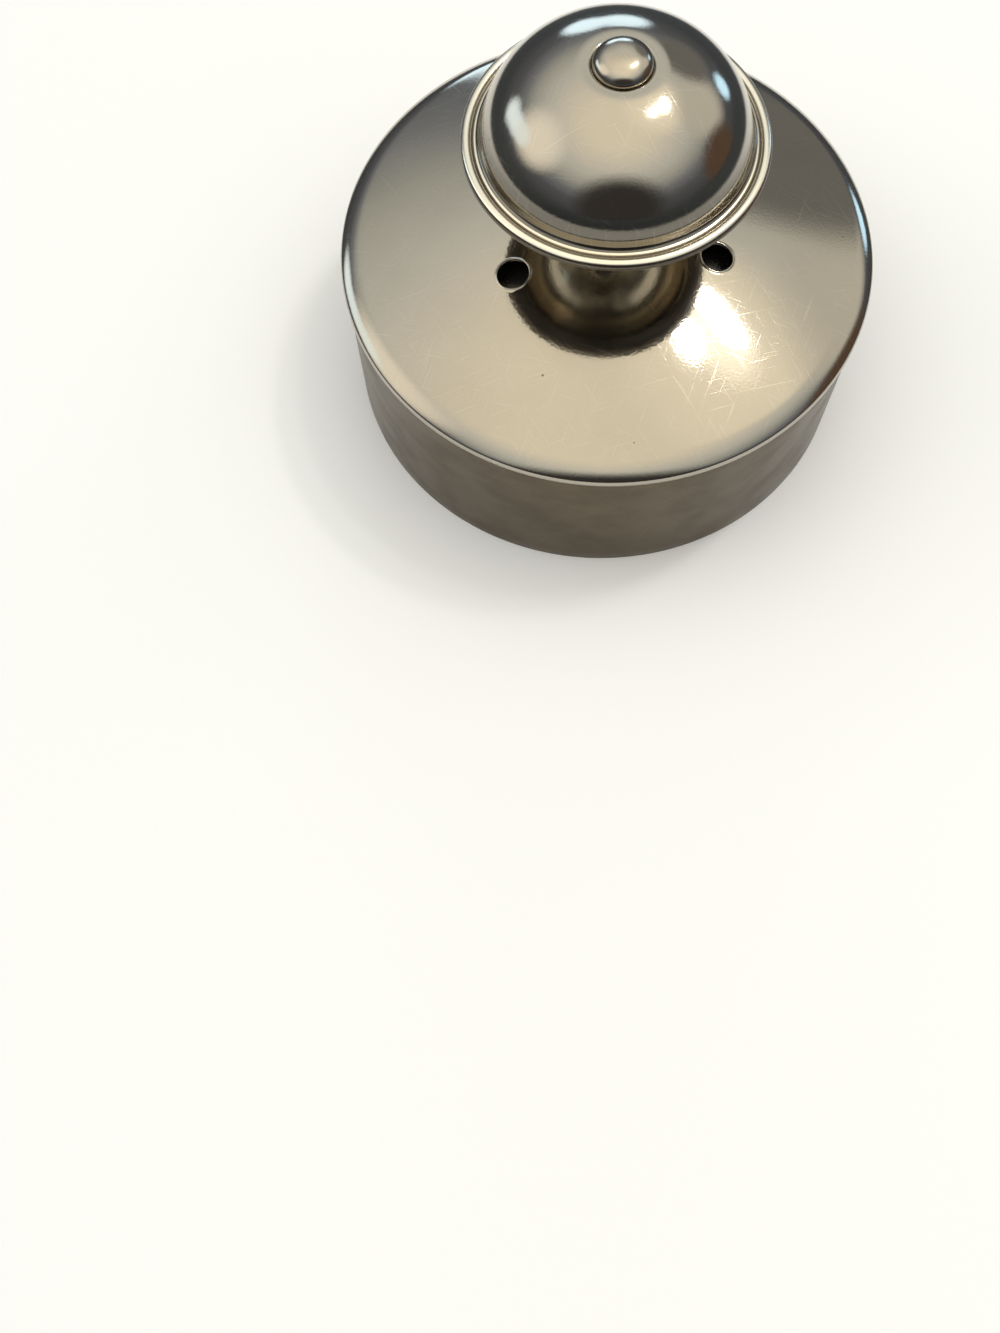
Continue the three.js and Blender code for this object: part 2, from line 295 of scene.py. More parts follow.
def springTree():
    # a wire wound in closed end turns with open turns between them
    inputs = [("Coil diameter", "Float"), ("Wire diameter", "Float"), ("Bottom", "Float"), ("Top", "Float"),
              ("Open turns", "Float"), ("End turns", "Float"), ("End pitch", "Float"),
              ("Steps", "Int"), ("Wire sides", "Int"), ("Material", "Material")]
    tree, given, output = nodeTree("windSpring", inputs)
    line = addNode(tree, "GeometryNodeCurvePrimitiveLine")
    resample = addNode(tree, "GeometryNodeResampleCurve")
    index = addNode(tree, "GeometryNodeInputIndex")
    closedTurns = mathNode(tree, "MULTIPLY", given["End turns"], 2.0)
    allTurns = mathNode(tree, "ADD", given["Open turns"], closedTurns)
    share = mathNode(tree, "DIVIDE", index.outputs[0], mathNode(tree, "SUBTRACT", given["Steps"], 1.0))
    turn = mathNode(tree, "MULTIPLY", share, allTurns)
    openTurn = mathNode(tree, "MAXIMUM", mathNode(tree, "SUBTRACT", turn, given["End turns"]), 0.0)
    openTurn = mathNode(tree, "MINIMUM", openTurn, given["Open turns"])
    closedRise = mathNode(tree, "MULTIPLY", closedTurns, given["End pitch"])
    wholeRise = mathNode(tree, "SUBTRACT", given["Top"], given["Bottom"])
    openRise = mathNode(tree, "SUBTRACT", wholeRise, closedRise)
    openPitch = mathNode(tree, "DIVIDE", openRise, given["Open turns"])
    height = mathNode(tree, "ADD", given["Bottom"], mathNode(tree, "MULTIPLY", openTurn, openPitch))
    closedTurn = mathNode(tree, "SUBTRACT", turn, openTurn)
    height = mathNode(tree, "ADD", height, mathNode(tree, "MULTIPLY", closedTurn, given["End pitch"]))
    angle = mathNode(tree, "MULTIPLY", turn, 2 * math.pi)
    radius = mathNode(tree, "MULTIPLY", given["Coil diameter"], 0.5)
    vector = addNode(tree, "ShaderNodeCombineXYZ")
    tree.links.new(mathNode(tree, "MULTIPLY", radius, mathNode(tree, "COSINE", angle)), vector.inputs["X"])
    tree.links.new(mathNode(tree, "MULTIPLY", radius, mathNode(tree, "SINE", angle)), vector.inputs["Y"])
    tree.links.new(height, vector.inputs["Z"])
    wind = addNode(tree, "GeometryNodeSetPosition")
    section = addNode(tree, "GeometryNodeCurvePrimitiveCircle")
    tube = addNode(tree, "GeometryNodeCurveToMesh")
    tube.inputs["Fill Caps"].default_value = True
    tree.links.new(given["Steps"], resample.inputs["Count"])
    tree.links.new(line.outputs[0], resample.inputs["Curve"])
    tree.links.new(resample.outputs[0], wind.inputs["Geometry"])
    tree.links.new(vector.outputs[0], wind.inputs["Position"])
    tree.links.new(given["Wire sides"], section.inputs["Resolution"])
    tree.links.new(mathNode(tree, "MULTIPLY", given["Wire diameter"], 0.5), section.inputs["Radius"])
    tree.links.new(wind.outputs[0], tube.inputs["Curve"])
    tree.links.new(section.outputs[0], tube.inputs["Profile Curve"])
    finishTree(tree, tube.outputs[0], given["Material"], output)
    return tree


# materials

def steelMaterial(look):
    # metal with smudges, hairline scratches and specks; each size is in metres on the piece
    # a look with a foot shade colour takes that colour below a height on the piece, a painted shade for
    # darker reflections near the foot
    material = bpy.data.materials.new(look["name"])
    material.use_nodes = True
    tree = material.node_tree
    shader = tree.nodes["Principled BSDF"]
    shader.inputs["Metallic"].default_value = 1.0
    shader.inputs["Coat Weight"].default_value = look["film"]
    shader.inputs["Coat Roughness"].default_value = look["filmRoughness"]
    coords = addNode(tree, "ShaderNodeTexCoord")
    place = coords.outputs["Object"]

    def noise(scale, detail, vector=place):
        node = addNode(tree, "ShaderNodeTexNoise")
        node.inputs["Scale"].default_value = scale
        node.inputs["Detail"].default_value = detail
        tree.links.new(vector, node.inputs["Vector"])
        return node.outputs["Fac"]

    def span(value, low, high, outLow, outHigh):
        node = addNode(tree, "ShaderNodeMapRange", interpolation_type="SMOOTHSTEP")
        for key, number in (("From Min", low), ("From Max", high), ("To Min", outLow), ("To Max", outHigh)):
            node.inputs[key].default_value = number
        tree.links.new(value, node.inputs["Value"])
        return node.outputs[0]

    def mixed(first, colour, share):
        node = addNode(tree, "ShaderNodeMix", data_type="RGBA")
        if isinstance(first, tuple):
            node.inputs["A"].default_value = (*first, 1.0)
        else:
            tree.links.new(first, node.inputs["A"])
        node.inputs["B"].default_value = (*colour, 1.0)
        tree.links.new(share, node.inputs["Factor"])
        return node.outputs["Result"]

    stains = addNode(tree, "ShaderNodeMapping", vector_type="TEXTURE")
    stainLength = look["smudgeSize"] * look["smudgeStretch"]
    stains.inputs["Scale"].default_value = (stainLength, look["smudgeSize"], look["smudgeSize"])
    tree.links.new(coords.outputs[look["scratchCoords"]], stains.inputs["Vector"])
    smudge = span(noise(1.0, 3.0, stains.outputs[0]), *look["smudgeLimits"], 0.0, 1.0)
    scratches = None
    length, width = look["scratchLength"], look["scratchWidth"]
    cutEnd = look["scratchCut"] + look["scratchSoftness"]
    for angle in look["scratchAngles"]:
        lay = addNode(tree, "ShaderNodeMapping", vector_type="TEXTURE")
        lay.inputs["Rotation"].default_value = (0.0, 0.0, math.radians(angle))
        lay.inputs["Location"].default_value = (angle * mm, 0.0, 0.0)
        lay.inputs["Scale"].default_value = (length, width, length)
        tree.links.new(coords.outputs[look["scratchCoords"]], lay.inputs["Vector"])
        line = span(noise(1.0, 1.0, lay.outputs[0]), look["scratchCut"], cutEnd, 0.0, 1.0)
        scratches = line if scratches is None else mathNode(tree, "MAXIMUM", scratches, line)
    specks = addNode(tree, "ShaderNodeTexVoronoi")
    specks.inputs["Scale"].default_value = 1 / look["speckSpacing"]
    tree.links.new(place, specks.inputs["Vector"])
    core = look["speckSize"] * look["speckCore"]
    speck = span(specks.outputs["Distance"], core, look["speckSize"], look["speckDarkness"], 0.0)

    colour = mixed(look["colour"], look["smudgeColour"], smudge)
    # painted shade: the colour turns darker towards the foot of the piece
    if "footShadeColour" in look:
        heights = addNode(tree, "ShaderNodeSeparateXYZ")
        tree.links.new(place, heights.inputs[0])
        foot = span(heights.outputs["Z"], look["footShadeStart"], look["footShadeEnd"], 1.0, 0.0)
        colour = mixed(colour, look["footShadeColour"], foot)
    shine = mathNode(tree, "MULTIPLY", scratches, look["scratchShine"])
    colour = mixed(colour, look["scratchColour"], shine)
    colour = mixed(colour, look["dirtColour"], speck)
    tree.links.new(colour, shader.inputs["Base Color"])

    smudgeRough = mathNode(tree, "MULTIPLY", smudge, look["smudgeRoughness"])
    scratchRough = mathNode(tree, "MULTIPLY", scratches, look["scratchRoughness"])
    rough = mathNode(tree, "ADD", look["roughness"], smudgeRough)
    rough = mathNode(tree, "ADD", rough, scratchRough)
    tree.links.new(rough, shader.inputs["Roughness"])

    wavy = addNode(tree, "ShaderNodeBump")
    wavy.inputs["Distance"].default_value = look["waveHeight"]
    tree.links.new(noise(1 / look["waveSize"], 1.0), wavy.inputs["Height"])
    grain = addNode(tree, "ShaderNodeBump")
    grain.inputs["Distance"].default_value = look["grainHeight"]
    tree.links.new(noise(1 / look["grainSize"], 0.0), grain.inputs["Height"])
    tree.links.new(wavy.outputs[0], grain.inputs["Normal"])
    cut = addNode(tree, "ShaderNodeBump", invert=True)
    cut.inputs["Distance"].default_value = look["scratchDepth"]
    tree.links.new(scratches, cut.inputs["Height"])
    tree.links.new(grain.outputs[0], cut.inputs["Normal"])
    tree.links.new(cut.outputs[0], shader.inputs["Normal"])
    return material


polishedLook = {
    "name": "polishedSteel", "colour": (0.427, 0.390, 0.325), "roughness": 0.055,
    "film": 0.25, "filmRoughness": 0.28,
    "smudgeColour": (0.408, 0.371, 0.310), "smudgeRoughness": 0.03, "smudgeSize": 0.018,
    "smudgeStretch": 1.0, "smudgeLimits": (0.35, 0.7),
    "dirtColour": (0.10, 0.08, 0.06), "speckSpacing": 0.007, "speckSize": 0.035,
    "speckCore": 0.6, "speckDarkness": 0.85,
    "scratchCoords": "Object", "scratchAngles": (12, 63, 118, 157), "scratchLength": 0.009,
    "scratchWidth": 0.00012, "scratchCut": 0.69, "scratchSoftness": 0.08, "scratchRoughness": 0.10,
    "scratchDepth": 0.0000006, "scratchShine": 0.28, "scratchColour": (0.62, 0.58, 0.50),
    "grainSize": 0.0004, "grainHeight": 0.000004, "waveSize": 0.016, "waveHeight": 0.00003,
}
# painted shade: the wall's colour is set far below steel's so that the wall shows deep-toned reflections
shadedSatinLook = dict(
    polishedLook, name="shadedSatinSteel", colour=(0.120, 0.093, 0.059), roughness=0.30, film=0.0,
    smudgeColour=(0.098, 0.076, 0.048), smudgeRoughness=0.08, smudgeSize=0.007, smudgeStretch=1.4,
    dirtColour=(0.06, 0.05, 0.04), speckSpacing=0.004, speckSize=0.05,
    scratchCoords="UV", scratchAngles=(2, 11, -24, 68, 133), scratchLength=0.014,
    scratchWidth=0.00016, scratchCut=0.68, scratchDepth=0.000002, scratchShine=0.16,
    scratchColour=(0.45, 0.40, 0.32), waveSize=0.012, waveHeight=0.00004)
rivetLook = dict(
    polishedLook, name="rivetSteel", colour=(0.49, 0.44, 0.36), smudgeColour=(0.42, 0.37, 0.30),
    roughness=0.13, smudgeSize=0.004, scratchLength=0.004)
plainLook = dict(
    polishedLook, name="plainSteel", colour=(0.55, 0.535, 0.505), smudgeColour=(0.48, 0.465, 0.435),
    roughness=0.26, film=0.0)
springLook = dict(
    plainLook, name="springSteel", colour=(0.34, 0.34, 0.35), smudgeColour=(0.26, 0.26, 0.27),
    smudgeSize=0.003, scratchLength=0.003)
# painted light: the knob's inside is made pale so that it shows bright in the cover's mirror, though little
# light reaches it
paintedLightLook = dict(
    plainLook, name="paintedLightSteel", colour=(0.80, 0.74, 0.62), smudgeColour=(0.72, 0.66, 0.55),
    roughness=0.16)
# painted sheen: a pale, rough copy of the steel so that the bead's top and the band's lip look bright from
# every side
paintedSheenLook = dict(
    polishedLook, name="paintedSheenSteel", colour=(0.86, 0.80, 0.67), smudgeColour=(0.80, 0.74, 0.62),
    roughness=0.19, film=0.0)
# painted shade: a deeper-toned copy of the steel for the bead's underside, the groove and the roll under
# the bead
paintedShadeLook = dict(
    plainLook, name="paintedShadeSteel", colour=(0.18, 0.155, 0.12), smudgeColour=(0.13, 0.11, 0.09),
    roughness=0.30)
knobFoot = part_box("knob_dome")[0][2]
# the dome steel takes a painted shade below these heights, for darker reflections at the knob's foot
domeLook = dict(
    polishedLook, name="domeSteel", roughness=0.075, film=0.32, filmRoughness=0.20,
    footShadeColour=(0.17, 0.155, 0.13), footShadeStart=knobFoot + 3.4 * mm, footShadeEnd=knobFoot + 6.0 * mm)
polishedSteel = steelMaterial(polishedLook)
domeSteel = steelMaterial(domeLook)
shadedSatinSteel = steelMaterial(shadedSatinLook)
rivetSteel = steelMaterial(rivetLook)
plainSteel = steelMaterial(plainLook)
springSteel = steelMaterial(springLook)
paintedLightSteel = steelMaterial(paintedLightLook)
paintedSheenSteel = steelMaterial(paintedSheenLook)
paintedShadeSteel = steelMaterial(paintedShadeLook)
print("materials made")


def fitPiece(obj, node, body, material=None):
    if material:
        obj.data.materials.append(material)
    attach(obj, body)
    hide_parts(node)
    return obj


# cover: one sector with its vent, repeated round the axis

coverShape = {
    "radius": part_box("top_cover")[1][0] / mm, "sheet": 0.45, "lipDrop": 0.5,
    "edgeHeight": 29.0, "edgeRadius": 1.0, "shoulderSlope": 42.0, "shoulderRadius": 8.0,
    "rimSlope": 16.0, "crownRadius": 290.0,
    "neckRadius": 3.6, "neckHeight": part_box("top_cover")[1][2] / mm, "neckTopRadius": 0.6,
    "flareRadius": 3.0, "guideRadius": 2.8,
    "ventCount": 3, "ventRadius": 2.5, "ventCircle": 18.9, "ventAngle": 90.0,
    "ventBevel": 0.2, "ventLip": 0.2, "ventLipHeight": 0.12,
    "columns": 80, "patchColumns": 9, "patchInner": 14.3, "patchOuter": 23.2, "patchRings": 9,
    "lipSteps": 4, "bevelSteps": 4, "weld": 0.004,
}


def coverCurves(shape):
    # centres of the edge's, shoulder's, crown's and flare's arcs, each arc starting where the last one ends
    edge = (shape["radius"] - shape["edgeRadius"], shape["edgeHeight"])
    shoulderSlope, rimSlope = math.radians(shape["shoulderSlope"]), math.radians(shape["rimSlope"])
    bend = shape["edgeRadius"] - shape["shoulderRadius"]
    shoulder = (edge[0] + bend * math.sin(shoulderSlope), edge[1] + bend * math.cos(shoulderSlope))
    bend = shape["shoulderRadius"] - shape["crownRadius"]
    crown = (shoulder[0] + bend * math.sin(rimSlope), shoulder[1] + bend * math.cos(rimSlope))
    flareR = shape["neckRadius"] + shape["flareRadius"]
    reach = shape["crownRadius"] + shape["flareRadius"]
    flareSlope = math.asin((flareR - crown[0]) / reach)
    flare = (flareR, crown[1] + reach * math.cos(flareSlope))
    return edge, shoulder, crown, flare, math.degrees(flareSlope)


def coverOutline(shape):
    # from the guide hole out and down to the lip
    edge, shoulder, crown, flare, flareSlope = coverCurves(shape)
    topR = shape["neckRadius"] - shape["neckTopRadius"]
    topZ = shape["neckHeight"] - shape["neckTopRadius"]
    guideR = shape["guideRadius"]
    rimAngle, shoulderAngle = 90 - shape["rimSlope"], 90 - shape["shoulderSlope"]
    path = [(guideR + (topR - guideR) * i / 4, shape["neckHeight"]) for i in range(4)]
    path += arcPoints(topR, topZ, shape["neckTopRadius"], 90, 0, 8)
    path += [(shape["neckRadius"], topZ + (flare[1] - topZ) * i / 4) for i in range(1, 4)]
    path += arcPoints(*flare, shape["flareRadius"], 180, 270 - flareSlope, 24)
    path += arcPoints(*crown, shape["crownRadius"], 90 - flareSlope, rimAngle, 40)[1:]
    path += arcPoints(*shoulder, shape["shoulderRadius"], rimAngle, shoulderAngle, 10)[1:]
    path += arcPoints(*edge, shape["edgeRadius"], shoulderAngle, 0, 8)[1:]
    path.append((shape["radius"], shape["edgeHeight"] - shape["lipDrop"] * 0.5))
    path.append((shape["radius"], shape["edgeHeight"] - shape["lipDrop"]))
    return path


def coverHeight(shape, radius, depth):
    # height of the sheet's face at a radius; depth 0 is the top face, the sheet's thickness the underside
    crown, flare, flareSlope = coverCurves(shape)[2:]
    crownRadius = shape["crownRadius"] - depth
    flareRadius = shape["flareRadius"] + depth
    meet = crown[0] + crownRadius * math.sin(math.radians(flareSlope))
    if radius > meet:
        return crown[1] + math.sqrt(crownRadius ** 2 - (radius - crown[0]) ** 2)
    return flare[1] - math.sqrt(flareRadius ** 2 - (flare[0] - radius) ** 2)


def bridge(bm, first, second):
    for k in range(len(first)):
        after = (k + 1) % len(first)
        bm.faces.new([first[k], first[after], second[after], second[k]])


def ventRing(bm, shape, centre, spokes, radius, depth, lift):
    # one loop of points round the vent, lifted off the sheet's face
    ring = []
    for spoke in spokes:
        spot = centre + spoke.normalized() * radius
        height = coverHeight(shape, spot.length, depth) + lift
        ring.append(bm.verts.new((*(spot * mm), height * mm)))
    return ring


def sheetSide(bm, shape, rings, depth, low, high):
    # one face of the sector: a polar grid with a patch of rings round the vent, from ring low to ring high
    # the top face, at depth 0, ends in a raised lip round the vent
    columns = shape["columns"]
    sweep = 2 * math.pi / shape["ventCount"]
    middle = math.radians(shape["ventAngle"])
    first = columns // 2 - shape["patchColumns"]
    last = columns // 2 + shape["patchColumns"]
    grid = {}
    for i, (r, z) in enumerate(rings):
        for k in range(columns + 1):
            if low < i < high and first < k < last:
                continue
            angle = middle + sweep * (k / columns - 0.5)
            grid[i, k] = bm.verts.new((r * mm * math.cos(angle), r * mm * math.sin(angle), z * mm))
    for i in range(len(rings) - 1):
        for k in range(columns):
            if low <= i < high and first <= k < last:
                continue
            bm.faces.new([grid[i, k], grid[i, k + 1], grid[i + 1, k + 1], grid[i + 1, k]])
    border = [grid[low, k] for k in range(first, last)]
    border += [grid[i, last] for i in range(low, high)]
    border += [grid[high, k] for k in range(last, first, -1)]
    border += [grid[i, first] for i in range(high, low, -1)]
    centre = Vector((math.cos(middle), math.sin(middle))) * shape["ventCircle"]
    spokes = [(Vector(v.co.xy) / mm - centre) for v in border]
    hole = shape["ventRadius"] + shape["ventBevel"]
    if depth == 0:
        hole += shape["ventLip"]
    loop = border
    for step in range(1, shape["patchRings"] + 1):
        share = 1 - step / shape["patchRings"]
        ring = []
        for spoke in spokes:
            spot = centre + spoke.normalized() * (hole + (spoke.length - hole) * share)
            ring.append(bm.verts.new((*(spot * mm), coverHeight(shape, spot.length, depth) * mm)))
        bridge(bm, loop, ring)
        loop = ring
    if depth == 0:
        for step in range(1, shape["lipSteps"] + 1):
            share = step / shape["lipSteps"]
            lift = shape["ventLipHeight"] * share * share * (3 - 2 * share)
            ring = ventRing(bm, shape, centre, spokes, hole - shape["ventLip"] * share, depth, lift)
            bridge(bm, loop, ring)
            loop = ring
    return grid, loop, centre, spokes


def ventEdge(bm, shape, centre, spokes, depth, side):
    # quarter round from a face of the sheet, on top from the lip, into the vent's wall
    lip = shape["ventLipHeight"] if depth == 0 else 0.0
    loops = []
    for step in range(1, shape["bevelSteps"] + 1):
        angle = math.pi / 2 * step / shape["bevelSteps"]
        radius = shape["ventRadius"] + shape["ventBevel"] * (1 - math.sin(angle))
        drop = shape["ventBevel"] * (1 - math.cos(angle)) * side
        loops.append(ventRing(bm, shape, centre, spokes, radius, depth, lip - drop))
    return loops


def makeCover(shape):
    bm = bmesh.new()
    outerRings = coverOutline(shape)
    innerRings = offsetPath(outerRings, -shape["sheet"])
    innerRings[0] = (shape["guideRadius"], shape["neckHeight"] - shape["sheet"])
    low = min(i for i, ring in enumerate(outerRings) if ring[0] > shape["patchInner"])
    high = min(i for i, ring in enumerate(outerRings) if ring[0] > shape["patchOuter"])
    outerGrid, outerVent, centre, spokes = sheetSide(bm, shape, outerRings, 0.0, low, high)
    innerGrid, innerVent = sheetSide(bm, shape, innerRings, shape["sheet"], low, high)[:2]
    loops = [outerVent] + ventEdge(bm, shape, centre, spokes, 0.0, 1)
    loops += ventEdge(bm, shape, centre, spokes, shape["sheet"], -1)[::-1]
    loops.append(innerVent)
    for first, second in zip(loops, loops[1:]):
        bridge(bm, first, second)
    for end in (0, len(outerRings) - 1):
        for k in range(shape["columns"]):
            outerPair = [outerGrid[end, k], outerGrid[end, k + 1]]
            innerPair = [innerGrid[end, k + 1], innerGrid[end, k]]
            bm.faces.new(outerPair + innerPair)
    mesh = bpy.data.meshes.new("coverSector")
    bm.to_mesh(mesh)
    bm.free()
    return runTree(meshObject("coverShell", mesh), roundAxisTree(), {
        "Count": shape["ventCount"], "Weld": shape["weld"] * mm, "Material": polishedSteel})


cover = fitPiece(makeCover(coverShape), "top_cover", "cutter_body")
print("cover made:", len(cover.data.polygons), "faces")


# ring: straight wall with broken sheet edges

ringShape = {
    "outer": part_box("cutter_ring")[1][0] / mm, "top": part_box("cutter_ring")[1][2] / mm,
    "sheet": 0.5, "edge": 0.1, "sides": 256, "rows": 12,
}


def makeRing(shape):
    inner = shape["outer"] - shape["sheet"]
    corners = [(shape["outer"], 0.0, shape["edge"])]
    for i in range(1, shape["rows"]):
        corners.append((shape["outer"], shape["top"] * i / shape["rows"], 0))
    corners += [(shape["outer"], shape["top"], shape["edge"]), (inner, shape["top"], shape["edge"]),
                (inner, 0.0, shape["edge"])]
    return meshObject("cutterWall", latheMesh("cutterWall", rounded(corners, 3), shape["sides"]))


ring = fitPiece(makeRing(ringShape), "cutter_ring", "cutter_body", shadedSatinSteel)
print("ring made")


# knob: pressed dome, rolled bead, groove and band

knobShape = {
    "radius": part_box("knob_dome")[1][0] / mm, "footDrop": 1.1, "sheet": 0.6,
    "beadWidth": 1.8, "beadShade": 42.0, "beadEnd": 155.0, "rollDrop": 0.2,
    "grooveWidth": 0.2, "grooveDepth": 0.6, "grooveFloor": 0.03,
    "bandWidth": 0.92, "bandDrop": 0.3, "bandStart": 265.0, "bandShade": 250.0, "bandEnd": 190.0,
    "lipDepth": 0.12, "lipInset": 0.025, "lipEdge": 0.03,
    "domeHeight": 15.2, "fullness": 2.1, "dishRadius": 6.5, "dishDepth": 0.3,
    "seatRadius": 4.43, "seatDepth": 0.55, "seatInset": 0.02, "boreRadius": 1.6,
    "sides": 192, "domeSteps": 56,
}
# slots: the dome steel, the inside in painted light, the bead's top and the band's lip in painted sheen,
# and the bead's underside, groove and roll in painted shade
knobSlots = {"dome": 0, "inside": 1, "paintedSheen": 2, "paintedShade": 3}


def makeKnob(shape):
    beadR = shape["beadWidth"] / 2
    beadZ = knobFoot / mm - shape["footDrop"] + beadR
    beadTop = beadZ + beadR
    bead = (shape["radius"] - beadR, beadZ, beadR)
    bandX = shape["radius"] - shape["beadWidth"] - shape["grooveWidth"]
    bandTop = beadTop - shape["bandDrop"]
    wallFoot = bandTop + shape["bandWidth"]
    band = (bandX, wallFoot, shape["bandWidth"])
    grooveX = bandX + shape["grooveWidth"] / 2
    grooveZ = beadTop - shape["grooveDepth"]
    domeR = bandX - shape["bandWidth"]
    cap = (domeR, shape["domeHeight"], shape["fullness"])
    seatR = shape["seatRadius"]
    seatZ = beadZ + capHeight(seatR, *cap) - shape["seatDepth"]

    wall = []
    for r, z in capPoints(beadZ, *cap, seatR, shape["domeSteps"]):
        if z < wallFoot:
            continue
        share = min(max((shape["dishRadius"] - r) / (shape["dishRadius"] - seatR), 0), 1)
        wall.append((r, z - shape["dishDepth"] * share * share * (3 - 2 * share)))
    step = (seatR - shape["boreRadius"]) / 4
    wall += [(seatR - shape["seatInset"] - step * i, seatZ) for i in range(5)]
    inside = offsetPath(wall, shape["sheet"])[::-1]
    innerX = inside[-1][0]
    rollTop = (innerX, beadZ + shape["rollDrop"])
    rollFoot = (innerX + 2 * shape["rollDrop"], beadZ - shape["rollDrop"])
    rollAngle = 180 + math.degrees(math.asin(shape["rollDrop"] / beadR))

    outline = []
    zones = {}

    def add(points, zone):
        # the segment that leads to the first new point belongs to the zone too
        for i in range(max(len(outline) - 1, 0), len(outline) + len(points) - 1):
            zones[i] = knobSlots[zone]
        outline.extend(points)

    # painted shade on the bead below beadShade degrees
    add(arcPoints(*bead, -90, shape["beadShade"], 12), "paintedShade")
    # painted sheen on the bead's upper side
    add(arcPoints(*bead, shape["beadShade"], shape["beadEnd"], 16)[1:], "paintedSheen")
    # painted shade in the groove
    add([(grooveX + shape["grooveFloor"], grooveZ), (grooveX - shape["grooveFloor"], grooveZ),
         (bandX, bandTop - shape["lipDepth"])], "paintedShade")
    # painted sheen on the band's lip
    add([(bandX - shape["lipInset"], bandTop - shape["lipEdge"])], "paintedSheen")
    add(arcPoints(*band, shape["bandStart"], shape["bandShade"], 6), "paintedSheen")
    add(arcPoints(*band, shape["bandShade"], shape["bandEnd"], 14)[1:], "dome")
    add(wall, "dome")
    add(inside + [rollTop], "inside")
    # painted shade on the roll under the bead
    add([rollFoot] + arcPoints(*bead, rollAngle, 270, 10)[:-1], "paintedShade")
    zones[len(outline) - 1] = knobSlots["paintedShade"]
    return meshObject("knobShell", latheMesh("knobShell", outline, shape["sides"], zones))


knob = fitPiece(makeKnob(knobShape), "knob_dome", "plunger", domeSteel)
# the knob's inside takes the painted light
knob.data.materials.append(paintedLightSteel)
knob.data.materials.append(paintedSheenSteel)
knob.data.materials.append(paintedShadeSteel)
print("knob made")


# rivets: a round head and a shank, one at each end of the tube

rivetShape = {
    "headRadius": 4.35, "shankRadius": 1.5, "shankLength": 12.0, "fullness": 2.3, "lift": 0.02,
    "sides": 96, "headSteps": 28,
}


def rivetMesh(name, shape, seat, headHeight, up):
    # up is 1 for a head on top and -1 for a head below
    shankEnd = seat - up * shape["shankLength"]
    outline = [(0.0, shankEnd), (shape["shankRadius"], shankEnd), (shape["shankRadius"], seat)]
    head = capPoints(0.0, shape["headRadius"], headHeight, shape["fullness"], 0.0, shape["headSteps"])
    for r, z in head:
        outline.append((r if r > 1e-4 else 0.0, seat + up * (z + shape["lift"])))
    return meshObject(name, latheMesh(name, outline, shape["sides"]))


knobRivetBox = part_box("knob_rivet")
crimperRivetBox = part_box("crimper_rivet")
knobRivetSeat = knobRivetBox[0][2] / mm + rivetShape["shankLength"]
crimperRivetSeat = crimperRivetBox[1][2] / mm - rivetShape["shankLength"]
knobHead = knobRivetBox[1][2] / mm - knobRivetSeat - rivetShape["lift"]
crimperHead = crimperRivetSeat - crimperRivetBox[0][2] / mm - rivetShape["lift"]
knobRivet = rivetMesh("knobRivet", rivetShape, knobRivetSeat, knobHead, 1)
fitPiece(knobRivet, "knob_rivet", "plunger", rivetSteel)
crimperRivet = rivetMesh("crimperRivet", rivetShape, crimperRivetSeat, crimperHead, -1)
fitPiece(crimperRivet, "crimper_rivet", "plunger", rivetSteel)
print("rivets made")


# washers and plunger tube

washerShape = {"edge": 0.15, "sides": 96, "slideRadius": 2.8, "boreRadius": 1.6, "tubeEdge": 0.25}


def turnedRing(name, node, innerRadius, edge, sides):
    low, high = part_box(node)
    outer, bottom, top = high[0] / mm, low[2] / mm, high[2] / mm
    corners = [(outer, bottom, edge), (outer, top, edge),
               (innerRadius, top, edge), (innerRadius, bottom, edge)]
    return meshObject(name, latheMesh(name, rounded(corners, 4), sides))


for name, node, body, inner in (
        ("seatWasher", "spring_seat_washer", "cutter_body", washerShape["slideRadius"]),
        ("capWasher", "spring_cap_washer", "spring_cap", washerShape["slideRadius"]),
        ("crimperWasher", "crimper_washer", "plunger", washerShape["boreRadius"])):
    washer = turnedRing(name, node, inner, washerShape["edge"], washerShape["sides"])
    fitPiece(washer, node, body, plainSteel)
tube = turnedRing("plungerTube", "plunger_tube", washerShape["boreRadius"],
                  washerShape["tubeEdge"], washerShape["sides"])
fitPiece(tube, "plunger_tube", "plunger", plainSteel)
print("washers and tube made")


# crimper: a pressed pan whose flange is crimped in waves

crimperShape = {
    "flangeRadius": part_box("crimper")[1][0] / mm, "roof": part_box("crimper")[1][2] / mm, "sheet": 0.6,
    "flangeWidth": 5.1, "footLand": 0.5, "draft": 3.0, "shoulder": 3.0, "foot": 1.5, "crimpCount": 36,
    "crimpDepth": 1.0, "runIn": 1.0, "boreRadius": 1.6, "sides": 432,
}


